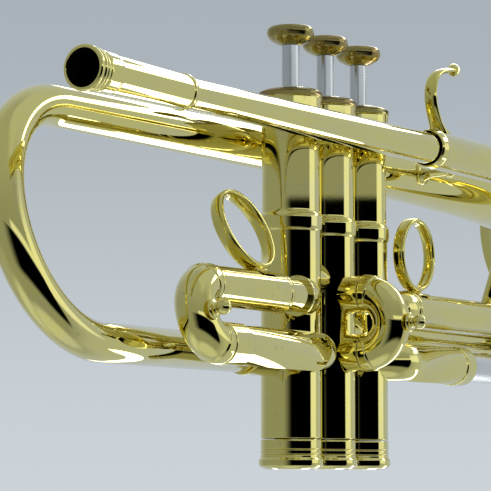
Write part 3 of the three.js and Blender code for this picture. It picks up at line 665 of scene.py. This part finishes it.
# ---------------------------------------------------------------- leadpipe and receiver
def receiver():
    """The mouthpiece receiver: a rim, two beads, a collar and a taper to its end ring."""
    route = line(LEADPIPE["mouth"], LEADPIPE["receiver_end"], LEADPIPE["y"], LEADPIPE["z"])
    end = route.length
    outside = [
        (0.0, 6.0),
        (0.35, 6.45),
        (1.3, 6.5),
        (1.9, 6.25),
        (2.2, 5.9),
        (2.5, 6.2),
        (3.0, 6.35),
        (3.5, 6.2),
        (3.8, 5.85),
        (4.1, 6.1),
        (4.6, 6.15),
        (5.0, 5.75),
        (5.6, 5.65),
        (6.1, 5.9),
        (7.0, 5.95),
        (12.0, 5.85),
        (12.4, 5.65),
        (12.8, 5.6),
        (end - 3.0, 5.15),
        (end - 2.6, 5.5),
        (end - 1.6, 5.55),
        (end - 1.2, 5.2),
        (end, 5.05),
    ]
    inside = [(0.0, 5.45), (0.9, 5.35), (9.0, 5.05), (26.0, 4.7), (end, 4.65)]
    shape = Shape().tube(route, outside, inside, edge=0.22, dark_from=0.7)
    shape.piece("receiver_turned", "horn", ["mouthpiece_receiver"])


def leadpipe_at(x):
    """The leadpipe climbs slightly from the receiver to the level of the tuning slide."""
    rise = np.interp(x, (LEADPIPE["receiver_end"], LEADPIPE["end"]), (LEADPIPE["z"], MAIN["upper"][1]))
    return np.array((x, LEADPIPE["y"], rise))


def leadpipe():
    """The long taper from inside the receiver to the tuning slide."""
    start = leadpipe_at(LEADPIPE["receiver_end"]) - X * 4.0
    span = leadpipe_at(LEADPIPE["end"]) - start
    route = Route(start, span).straight(np.linalg.norm(span))
    outside = [(0.0, 4.55), (route.length, 5.5)]
    inside = [(0.0, 4.0), (route.length, 5.0)]
    Shape().tube(route, outside, inside).piece("leadpipe_drawn", "horn", ["leadpipe"])


# ---------------------------------------------------------------- bell
def flare_radius(to_rim, straight):
    """The bell's radius at a distance from its rim, on a straight stretch of a given length."""
    widening = (FLARE["reach"] / (to_rim + FLARE["reach"])) ** FLARE["power"]
    fade = 1.0 - (to_rim / straight) ** 2
    return BELL["bow_radius"] + (BELL["rim_radius"] - BELL["bow_radius"]) * widening * fade


def bell_route():
    """From the first valve back under the leadpipe, round the bow and forward to the rim."""
    tail = (TAIL["front"], TAIL["y"], TAIL["z"])
    span = np.array((0.0, BELL["y"] - TAIL["y"], BELL["z"] - TAIL["z"]))
    route = Route(tail, -X).straight(TAIL["front"] - BELL["bow"])
    route.bend(180.0 - BELL_RISE, np.linalg.norm(span) / 2, span)
    return route.straight(BELL["rim"] - BELL["bow"])


def bell(route):
    """The bell with its bow: lacquered outside and round the mouth, and raw brass down the throat."""
    _, bow, flare = route.pieces
    end = route.length
    outside = [(0.0, TAIL["radius"]), (bow["at"], TAIL["radius"])]
    outside.append((flare["at"], BELL["bow_radius"]))
    for step in range(FLARE["steps"]):
        to_rim = flare["length"] * 0.9 * (1 - step / FLARE["steps"]) ** 2.2 + 2.2
        outside.append((end - to_rim, flare_radius(to_rim, flare["length"])))
    inside = [(s, r - BELL["wall"]) for s, r in outside]
    lip = BELL["rim_radius"]
    curl = [(-1.9, -2.4), (-2.0, -0.9), (-1.6, -0.1), (-0.9, 0.15), (-0.3, -0.15), (0.0, -0.8)]
    outside += [(end + s, lip + r) for s, r in curl]
    inside += [(end - 0.9, lip - 4.6), (end - 0.1, lip - 1.8)]
    loop = outside + inside[::-1]
    loop = with_stations(loop + loop[:1], route)[:-1]
    vertices, faces = ring_mesh(route, loop, True, FINE_SIDES)
    half = len(loop) - len(with_stations(inside, route))
    slots = []
    for row, (distance, _) in enumerate(loop):
        depths = (POLISHED_DEPTH, LIT_DEPTH) if row > half else ()
        slots += [sum(int(distance < end - depth) for depth in depths)] * FINE_SIDES
    shape = Shape().add(vertices, faces, slots)
    shape.piece("bell_spun", "horn", ["bell"], materials=(BRASS, THROAT, BORE))


def tail_ferrule():
    """The sleeve round the bell tube where it enters the first valve."""
    route = line(*TAIL["ferrule"], TAIL["y"], TAIL["z"])
    radius = TAIL["radius"] + GAP + 0.45
    outside = [(0, radius - 0.15), (0.6, radius), (1.6, radius), (2.0, radius - 0.2), (17, radius - 0.2)]
    inside = [(0, TAIL["radius"] - 0.05), (17, TAIL["radius"] - 0.05)]
    Shape().tube(route, outside, inside).piece("tail_ferrule_turned", "horn", ["bell_tail_ferrule"])


def bell_at(route, x):
    """The bell's centre and radius at a place along X."""
    flare = route.pieces[-1]
    point, _, _ = route.where(flare["at"] + x - BELL["bow"])
    return point, flare_radius(BELL["rim"] - x, flare["length"])


def brace(name, node, start, end, radius):
    """A turned strut whose ends spread into round feet on the two tubes that it joins."""
    span = np.subtract(end, start)
    length = np.linalg.norm(span)
    foot = 2.0 * radius
    half = [
        (0.0, 0.0),
        (0.0, foot),
        (1.0, foot),
        (1.5, foot * 0.72),
        (2.6, radius * 1.15),
        (4.2, radius * 0.9),
        (length / 2 - 1.6, radius * 0.9),
    ]
    middle = [(length / 2 - 1.0, radius * 1.18), (length / 2, radius * 1.25)]
    outline = half + middle + [(length - s, r) for s, r in (half + middle[:1])[::-1]]
    route = Route(start, span).straight(length)
    Shape().turned(route, outline, edge=0.25, sides=40).piece(name, "horn", [node])


# ---------------------------------------------------------------- slides
def banded(length, radius, band, lift=0.35, start=True, end=True):
    """A tube's outer outline with a ferrule band at one end or both."""
    outline = []
    if start:
        outline += [(0.0, radius + lift - 0.12), (0.35, radius + lift), (band, radius + lift)]
        outline += [(band + 0.35, radius)]
    else:
        outline += [(0.0, radius)]
    if end:
        outline += [(length - band - 0.35, radius), (length - band, radius + lift)]
        outline += [(length - 0.35, radius + lift), (length, radius + lift - 0.12)]
    else:
        outline += [(length, radius)]
    return outline


def crook(shape, start, heading, down, radius=OUTER, lead=0.1, band=2.6):
    """A half-round bend from one leg of a slide to the other, with a ferrule on each end."""
    route = Route(start, heading).straight(lead)
    route.bend(180.0, np.linalg.norm(down) / 2, down).straight(lead)
    outside = banded(route.length, radius, band)
    inside = [(0.0, radius - 0.9), (route.length, radius - 0.9)]
    return shape.tube(route, outside, inside)


def pull_knob(name, body, node, foot, direction):
    """A small ball on a waisted foot."""
    outline = [
        (0.0, 0.0),
        (0.0, 3.1),
        (0.55, 3.2),
        (0.95, 2.9),
        (1.25, 1.9),
        (1.7, 1.45),
        (2.0, 1.65),
    ]
    centre, radius = 3.75, 2.35
    for angle in np.radians(np.arange(-50, 91, 10)):
        outline.append((centre + radius * math.sin(angle), radius * math.cos(angle)))
    outline[-1] = (centre + radius, 0.0)
    route = Route(foot, direction).straight(centre + radius)
    Shape().turned(route, outline, edge=0.2, sides=40).piece(name, body, [node])


def finger_ring(name, body, node, tube_point, up, radius, width):
    """A band for a finger, its edges rounded, on a small saddle that clasps the tube."""
    up = unit(up)
    top = np.asarray(tube_point, float) + Z * OUTER
    centre = top + up * (radius + 0.2)
    across = unit(np.cross(up, X))
    thickness = 1.9
    half, deep = width / 2, thickness / 2
    middle = radius - deep
    route = Route(centre - across * half, across).straight(width)
    oval = []
    for angle in np.linspace(0, 2 * math.pi, 24, endpoint=False):
        flat = abs(math.cos(angle)) ** 0.6 * math.copysign(1, math.cos(angle))
        oval.append((half + half * math.sin(angle), middle + deep * flat))
    vertices, faces = ring_mesh(route, oval, True, FINE_SIDES)
    shape = Shape().add(vertices, faces)
    foot = np.asarray(tube_point, float)
    reach, low, high = 9.5, OUTER + 0.2, OUTER + 0.45
    saddle = [(0, low), (0.5, high), (reach - 0.5, high), (reach, low)]
    saddle_route = Route(foot - X * reach / 2, X).straight(reach)
    clasp, clasp_faces = ring_mesh(saddle_route, saddle, False, FINE_SIDES)
    keep = [f for f in clasp_faces if min(clasp[v][2] for v in f) > foot[2] + OUTER * 0.8]
    shape.add(clasp, keep)
    shape.rod(top - X * 3.2 + Z * 0.1, top + X * 3.2 + Z * 0.1, 1.15)
    shape.piece(name, body, [node], materials=(BRASS_WORN,))


def first_slide():
    """Two fixed tubes on the casing, and the crook, sleeve, inner tube, knob and ring that slide."""
    upper_y, upper_z = FIRST["upper"]
    lower_y, lower_z = FIRST["lower"]
    knuckle = Route((FIRST["knuckle"], upper_y, upper_z), X)
    knuckle.straight(1.3).bend(50.0, 10.0, Y).straight(6.0)
    outside = banded(knuckle.length, OUTER, 0.9, end=False)
    fixed = Shape().tube(knuckle, outside, [(0, INNER - 0.2), (knuckle.length, INNER)])
    fixed.plain_tube(line(FIRST_ENDS["fixed"], FIRST["knuckle"] + 1.0, upper_y, upper_z), INNER)
    fixed.piece("first_fixed_upper_drawn", "horn", ["first_slide_upper_fixed_tube"])

    start = FIRST["crook"] + GAP
    lower = Route((start, lower_y, lower_z), X)
    lower.straight(FIRST_ENDS["turn"] - start).bend(90.0, 9.0, Y).straight(1.5)
    outside = banded(lower.length, OUTER, 10.2, lift=0.4, end=False)
    shape = Shape().tube(lower, outside, [(0, INNER + GAP), (lower.length, INNER + GAP)])
    shape.piece("first_fixed_lower_drawn", "horn", ["first_slide_lower_outer_tube"])

    down = np.array((0.0, lower_y - upper_y, lower_z - upper_z))
    start = np.array((FIRST["crook"], upper_y, upper_z))
    body = "first_slide"
    crook(Shape(), start, -X, down).piece("first_crook_bent", body, ["first_slide_crook"])
    sleeve = line(FIRST["crook"] + GAP, FIRST_ENDS["sleeve"], upper_y, upper_z)
    outside = banded(sleeve.length, OUTER, 1.6, lift=0.2)
    shape = Shape().tube(sleeve, outside, [(0, SLEEVE_BORE), (sleeve.length, SLEEVE_BORE)])
    shape.piece("first_sleeve_drawn", body, ["first_slide_upper_sleeve"])
    inner = line(FIRST["crook"] + GAP, FIRST_ENDS["inner"], lower_y, lower_z)
    shape = Shape().plain_tube(inner, INNER)
    node = "first_slide_lower_inner_tube"
    shape.piece("first_inner_drawn", body, [node], "nickel", (NICKEL, BORE))
    foot = start + down / 2 + np.array((-np.linalg.norm(down) / 2 - 1.5, -OUTER - 0.35, 0.5))
    pull_knob("first_knob_turned", body, "first_slide_knob", foot, (0, -0.985, 0.17))
    place = (FIRST["ring"], upper_y, upper_z)
    node = "first_slide_thumb_ring"
    finger_ring("thumb_ring_formed", body, node, place, (0, 0.42, 0.91), 13.85, width=4.6)


def second_slide():
    """Two short tubes on the middle casing and the small crook that slides in them."""
    for height, which in ((SECOND["upper"], "upper"), (SECOND["lower"], "lower")):
        route = Route((0, -7.0, height), -Y).straight(-7.0 - SECOND["crook"] - GAP)
        shape = Shape().plain_tube(route, OUTER)
        node = f"second_slide_{which}_outer_tube"
        shape.piece(f"second_{which}_outer_drawn", "horn", [node])
    shape = crook(Shape(), (0, SECOND["crook"], SECOND["upper"]), -Y, (0, 0, -19.0))
    for height in (SECOND["upper"], SECOND["lower"]):
        leg = Route((0, -9.4, height), -Y).straight(-9.4 - SECOND["crook"] + 0.8)
        shape.plain_tube(leg, INNER)
    shape.piece("second_slide_bent", "second_slide", ["second_slide"])
    reach = 9.5 + OUTER + 0.35
    foot = (0.0, SECOND["crook"] - reach, 47.6)
    pull_knob("second_knob_turned", "second_slide", "second_slide_knob", foot, -Y)


def third_slide():
    """Two fixed tubes on the casing, and the long crook, sleeve, inner tube and ring that slide."""
    y = THIRD["y"]
    for which, start, radius in (("upper", 35.0, OUTER), ("lower", THIRD["outer_end"], OUTER + 0.35)):
        height = THIRD[which]
        route = Route((start, y, height), -X).straight(start - THIRD_ENDS["turn"])
        route.bend(80.0, 9.0, Y).straight(2.5)
        if which == "upper":
            outside = banded(route.length, radius, 0.9, end=False)
        else:
            outside = banded(route.length, radius, 7.0, lift=0.4, end=False)
        shape = Shape().tube(route, outside, [(0, INNER + 0.2), (route.length, INNER + 0.2)])
        if which == "upper":
            shape.plain_tube(line(THIRD_ENDS["turn"], THIRD_ENDS["fixed"], y, height), INNER)
        node = "third_slide_upper_fixed_tube" if which == "upper" else "third_slide_lower_outer_tube"
        shape.piece(f"third_fixed_{which}_drawn", "horn", [node])
    body = "third_slide"
    down = (0, 0, THIRD["lower"] - THIRD["upper"])
    start = (THIRD["crook"], y, THIRD["upper"])
    crook(Shape(), start, X, down).piece("third_crook_bent", body, ["third_slide_crook"])
    sleeve = line(THIRD_ENDS["sleeve"], THIRD["crook"] - GAP, y, THIRD["upper"])
    outside = banded(sleeve.length, OUTER, 1.6, lift=0.2)
    shape = Shape().tube(sleeve, outside, [(0, SLEEVE_BORE), (sleeve.length, SLEEVE_BORE)])
    shape.piece("third_sleeve_drawn", body, ["third_slide_upper_sleeve"])
    inner = line(THIRD_ENDS["inner"], THIRD["crook"] - GAP, y, THIRD["lower"])
    node = "third_slide_lower_inner_tube"
    shape = Shape().plain_tube(inner, INNER)
    shape.piece("third_inner_drawn", body, [node], "nickel", (NICKEL, BORE))
    place = (THIRD["ring"], y, THIRD["upper"])
    node = "third_slide_finger_ring"
    finger_ring("finger_ring_formed", body, node, place, Z, 12.75, width=4.2)


def tuning_slide():
    """Two fixed outer tubes with a brace, and the bow with its inner tubes and water key's seat."""
    y, z = MAIN["upper"]
    low_y, low_z = MAIN["lower"]
    outer, inner = MAIN["outer"], MAIN["inner"]
    upper = line(MAIN_TUBE["upper_start"], MAIN_TUBE["end"], y, z)
    outside = [(0.0, 6.2), (0.8, 6.6), (3.2, 7.0), (4.2, 7.0), (5.0, outer)]
    outside += banded(upper.length, outer, 7.0, lift=0.5, start=False)[1:]
    shape = Shape().tube(upper, outside, [(0, inner + 0.2), (upper.length, inner + GAP)])
    shape.piece("tuning_upper_outer_drawn", "horn", ["tuning_slide_upper_outer_tube"])
    lower = line(MAIN_TUBE["lower_start"], MAIN_TUBE["end"], low_y, low_z)
    outside = banded(lower.length, outer, 7.0, lift=0.5, start=False)
    shape = Shape().tube(lower, outside, [(0, inner + GAP), (lower.length, inner + GAP)])
    shape.piece("tuning_lower_outer_drawn", "horn", ["tuning_slide_lower_outer_tube"])

    body = "tuning_slide"
    down = np.array((0.0, low_y - y, low_z - z))
    start = (MAIN_TUBE["end"] + GAP, y, z)
    lead = MAIN["crook"] - start[0]
    shape = crook(Shape(), start, X, down, outer - 0.1, lead, band=4.0)
    level = low_z - inner - 0.4
    nipple, hinge = MAIN["crook"] - 1.0, MAIN["crook"] - 9.0
    shape.rod((nipple, low_y, level + 1.0), (nipple, low_y, level - 3.0), 2.4)
    shape.block((hinge, low_y, level - 1.4), (4.4, 8.4, 4.4))
    for side in (-1, 1):
        shape.block((hinge, low_y + side * 3.6, level - 5.4), (4.0, 1.2, 6.0))
    shape.piece("tuning_bow_bent", body, ["tuning_slide_bow"])
    for name, y0, z0, x0 in (("upper", y, z, 94.0), ("lower", low_y, low_z, 80.0)):
        shape = Shape().plain_tube(line(x0, MAIN_TUBE["end"], y0, z0), inner)
        node = f"tuning_slide_{name}_inner_tube"
        shape.piece(f"tuning_{name}_inner_drawn", body, [node], "nickel", (NICKEL, BORE))
    away = unit(down)
    top = np.array((MAIN_TUBE["brace"], y, z)) + away * (outer - SUNK)
    foot = np.array((MAIN_TUBE["brace"], low_y, low_z)) - away * (outer - SUNK)
    brace("tuning_tube_brace_turned", "tuning_slide_tube_brace", top, foot, 2.2)


def water_key():
    """The lever that lifts its cork off the nipple: a strip with a cup, a barrel and a thumb pad."""
    low_y, low_z = MAIN["lower"]
    level = low_z - MAIN["inner"] - 0.4
    z = level - 6.6
    nipple, hinge, tail = (MAIN["crook"] - s for s in (1.0, 9.0, 21.0))
    bar = [(nipple, low_y, z), (hinge, low_y, z + 0.1), (tail + 3, low_y, z), (tail, low_y, z)]
    path = spline(bar, 8)
    width = [(0, 4.4), (0.35, 3.0), (0.6, 3.2), (0.9, 6.4), (1, 5.0)]
    shape = Shape().strip(path, width, [(0, 1.5), (1, 1.3)])
    shape.rod((nipple, low_y, z - 0.8), (nipple, low_y, z + 1.4), 3.3)
    shape.rod((tail, low_y, z - 0.8), (tail, low_y, z + 0.8), 3.5, edge=0.6)
    shape.rod((hinge, low_y - 2.6, z), (hinge, low_y + 2.6, z), 1.6)
    shape.piece("water_key_cast", "water_key", ["water_key_lever"], materials=(BRASS_WORN,))


def finger_hook():
    """The hook is cast: a strip that widens to its foot and ends in a ball."""

    def at(x, z):
        return LEADPIPE["hook"] + x, LEADPIPE["y"], z

    foot = MAIN["upper"][1] + MAIN["outer"]
    knots = [at(-0.8, foot - 0.4), at(-4.2, 120), at(-7.3, 126), at(-7.2, 131.5), at(-4.2, 135.8)]
    knots += [at(2, 138.2), at(10, 139.6)]
    path = spline(knots, 10)
    width = [(0, 6.4), (0.15, 5.0), (0.5, 4.6), (1, 3.4)]
    depth = [(0, 4.2), (0.12, 2.7), (0.6, 2.2), (1, 1.9)]
    shape = Shape().strip(path, width, depth)
    shape.ball(at(11, 139.9), 2.3)
    shape.rod(at(-5.0, foot - 0.3), at(5.0, foot - 0.3), 1.7, edge=0.9)
    shape.piece("finger_hook_cast", "horn", ["finger_hook"], materials=(BRASS_WORN,))


receiver()
leadpipe()
bell_line = bell_route()
bell(bell_line)
tail_ferrule()
for name, node, at_x, pipe, radius in (
    ("rear_brace_turned", "rear_bell_brace", VALVE_X[0] / 2, 5.2, 1.7),
    ("front_brace_turned", "front_bell_brace", 96.0, MAIN["outer"], 2.2),
):
    pipe_point = leadpipe_at(at_x)
    horn_point, horn_radius = bell_at(bell_line, at_x)
    across = unit(horn_point - pipe_point)
    start = pipe_point + across * (pipe - SUNK)
    brace(name, node, start, horn_point - across * (horn_radius - SUNK), radius)
first_slide()
second_slide()
third_slide()
tuning_slide()
water_key()
finger_hook()

# The pieces inside the valves, and the small fittings, keep their CAD shape.
KEPT = {
    "piston": NICKEL,
    "valve_spring": STEEL,
    "water_key_cork": CORK,
    "water_key_pin": STEEL,
}
for name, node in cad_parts.items():
    for start, material in KEPT.items():
        if name.startswith(start):
            node.data.materials.clear()
            node.data.materials.append(material)


# ---------------------------------------------------------------- studio
def studio_world():
    """What the brass mirrors: a grey tent with paler panels, a bright one and a black flag.

    Places in it are an azimuth about Z and a height, in degrees. The camera sees a backdrop instead.
    """
    world = bpy.data.worlds.new("studio")
    bpy.context.scene.world = world
    world.use_nodes = True
    graph = Graph(world.node_tree)
    direction = graph.node("ShaderNodeTexCoord").outputs["Generated"]
    parts = graph.node("ShaderNodeSeparateXYZ", {"Vector": direction})
    x, y, z = parts.outputs
    azimuth = graph.math("DEGREES", graph.math("ARCTAN2", y, x))
    height = graph.math("DEGREES", graph.math("ARCSINE", z))

    def window(value, low, high, low_soft, high_soft):
        """1 from low to high and 0 outside, with a soft edge at each."""
        rise = graph.ramp(value, low - low_soft, low + low_soft)
        fall = graph.ramp(value, high + high_soft, high - high_soft)
        return graph.math("MULTIPLY", rise, fall)

    def paint(light, strength, across, up, soft_across, soft_up):
        """Puts a panel of one strength over the light, its ranges and soft edges in degrees."""
        patch = window(azimuth, *across, *soft_across)
        patch = graph.math("MULTIPLY", patch, window(height, *up, *soft_up))
        rest = graph.math("MULTIPLY", light, graph.math("SUBTRACT", 1.0, patch))
        return graph.math("MULTIPLY_ADD", patch, strength, rest)

    light = graph.math("MULTIPLY_ADD", graph.ramp(height, 10.0, 60.0), 0.08, 0.34)
    for panel in PANELS:
        light = paint(light, *panel)
    tint = graph.mix(graph.ramp(light, 0.6, 1.6), rgba(0.90, 1.0, 1.09), rgba(1.0, 1.0, 1.0))
    reflected = graph.node("ShaderNodeBackground", {"Color": tint, "Strength": light})

    seen = graph.mix(graph.ramp(height, -1.0, 11.0), rgba(0.60, 0.65, 0.69), rgba(0.40, 0.447, 0.485))
    visible = graph.node("ShaderNodeBackground", {"Color": seen, "Strength": 1.0})
    camera_ray = graph.node("ShaderNodeLightPath").outputs["Is Camera Ray"]
    mixed = graph.node("ShaderNodeMixShader", {"Fac": camera_ray})
    graph.tree.links.new(reflected.outputs[0], mixed.inputs[1])
    graph.tree.links.new(visible.outputs[0], mixed.inputs[2])
    graph.node("ShaderNodeOutputWorld", {"Surface": mixed.outputs[0]})


def floor():
    """A plain pale floor well below the object, which a player's hand holds up."""
    mesh = bpy.data.meshes.new("floor")
    half, level = FLOOR["half"], FLOOR["level"]
    corners = [(-half, -half, level), (half, -half, level), (half, half, level), (-half, half, level)]
    mesh.from_pydata(corners, [], [(0, 1, 2, 3)])
    material, graph = new_material("floor_paper")
    grain = graph.noise(40.0, 3.0)
    tint = graph.mix(grain, rgba(0.62, 0.66, 0.69), rgba(0.66, 0.70, 0.73))
    graph.surface({"Base Color": tint, "Roughness": 0.9})
    mesh.materials.append(material)
    made = new_object("floor", mesh)
    made.visible_glossy = False
    made.visible_shadow = False


def strip_light(name, x_range, y_range, z, turn):
    """A long soft strip light, level, that shines down or is turned over to shine up."""
    data = bpy.data.lights.new(name, "AREA")
    data.shape = "RECTANGLE"
    data.size = x_range[1] - x_range[0]
    data.size_y = y_range[1] - y_range[0]
    data.energy = STRIP_RADIANCE * math.pi * data.size * data.size_y
    lamp = new_object(name, data)
    lamp.location = (sum(x_range) / 2, sum(y_range) / 2, z)
    lamp.rotation_euler = (turn, 0.0, 0.0)
    lamp.visible_camera = False


def camera():
    """Behind and to the right of the player's hands, looking slightly up."""
    data = bpy.data.cameras.new("camera")
    data.sensor_width = 36.0
    data.lens = LENS
    data.clip_start = 0.01
    made = new_object("camera", data)
    made.location = CAMERA
    made.rotation_euler = [math.radians(angle) for angle in CAMERA_TURN]
    bpy.context.scene.camera = made


studio_world()
strip_light("strip_above", *STRIPS["above"], 0.0)
strip_light("strip_below", *STRIPS["below"], math.pi)
floor()
camera()
bpy.context.scene.view_settings.view_transform = "Standard"
